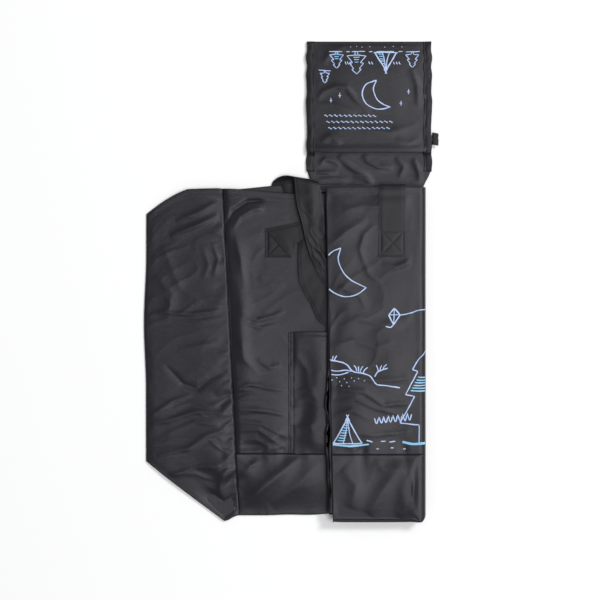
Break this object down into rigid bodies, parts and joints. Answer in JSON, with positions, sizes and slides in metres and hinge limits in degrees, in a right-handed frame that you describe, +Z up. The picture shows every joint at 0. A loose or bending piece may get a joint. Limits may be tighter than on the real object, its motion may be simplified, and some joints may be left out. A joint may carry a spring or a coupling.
{
  "type": "packable tote bag",
  "caption": "Lightweight black nylon tote laid flat: one side turned back over the middle, a side gusset drawn out, handles, trolley sleeve, and a stow pouch beyond the mouth.",
  "frame": {"origin": "middle of the underside of the whole object as it lies, on the plane that it rests on", "axes": "+Z up from the table, out of the bag's back; +Y from the bag's bottom to its mouth and the pouch; +X across the bag, from the drawn-out gusset to the fold"},
  "size_m": [0.3044, 0.498, 0.0182],
  "materials": {
    "black_nylon": "satin black nylon taffeta with a soft sheen",
    "printed_nylon": "the same black nylon, with a pale blue screen-printed line drawing",
    "strap_nylon": "black self-fabric strap, edge-stitched",
    "binding_tape": "matt black grosgrain binding tape"
  },
  "bodies": {
    "bag": {"front_panel": "printed_nylon", "back_panel": "black_nylon", "bottom_front_half": "black_nylon", "bottom_back_half": "black_nylon", "trolley_sleeve": "black_nylon", "front_handle_left_end": "strap_nylon", "front_handle_tucked": "strap_nylon", "back_handle_left_end": "strap_nylon", "back_handle_tucked": "strap_nylon"},
    "turned_side": {"back_panel_side": "black_nylon", "front_panel_side": "printed_nylon", "bottom_side_back_half": "black_nylon", "bottom_side_front_half": "black_nylon", "right_gusset_back_half": "black_nylon", "right_gusset_front_half": "black_nylon", "trolley_sleeve_side": "black_nylon", "front_handle_right_end": "strap_nylon", "back_handle_right_end": "strap_nylon"},
    "gusset_wing": {"left_gusset_front_half": "black_nylon", "left_gusset_back_half": "black_nylon"},
    "front_handle": {"front_handle_loop": "strap_nylon"},
    "back_handle": {"back_handle_loop": "strap_nylon"},
    "stow_pouch": {"pouch_back": "black_nylon", "pouch_front": "printed_nylon", "pouch_binding_left": "binding_tape", "pouch_binding_right": "binding_tape"},
    "tab": {"pouch_tab": "binding_tape"}
  },
  "joints": [
    {"name": "side_fold", "type": "hinge", "parent": "bag", "child": "turned_side", "pos_m": [0.13885, 0.097, 0.00925], "axis": [0, 1, 0], "range_deg": [0, 180]},
    {"name": "gusset_fold", "type": "hinge", "parent": "bag", "child": "gusset_wing", "pos_m": [-0.06415, -0.033, 0.0092], "axis": [0, 1, 0], "range_deg": [0, 180]},
    {"name": "pouch_fold", "type": "hinge", "parent": "bag", "child": "stow_pouch", "pos_m": [0.08035, 0.097, 0.01285], "axis": [1, 0, 0], "range_deg": [0, 180]},
    {"name": "front_handle_lift", "type": "hinge", "parent": "bag", "child": "front_handle", "pos_m": [-0.00465, 0.106, 0.0055], "axis": [1, 0, 0], "range_deg": [-60, 0]},
    {"name": "back_handle_lift", "type": "hinge", "parent": "bag", "child": "back_handle", "pos_m": [0.00585, 0.067, 0.0092], "axis": [1, 0, 0], "range_deg": [-60, 0]},
    {"name": "tab_swing", "type": "hinge", "parent": "stow_pouch", "child": "tab", "pos_m": [0.14565, 0.14745, 0.00485], "axis": [0, -1, 0], "range_deg": [0, 80]}
  ],
  "couplings": [
    {"joint": "back_handle_lift", "follows": "front_handle_lift", "ratio": 1}
  ]
}
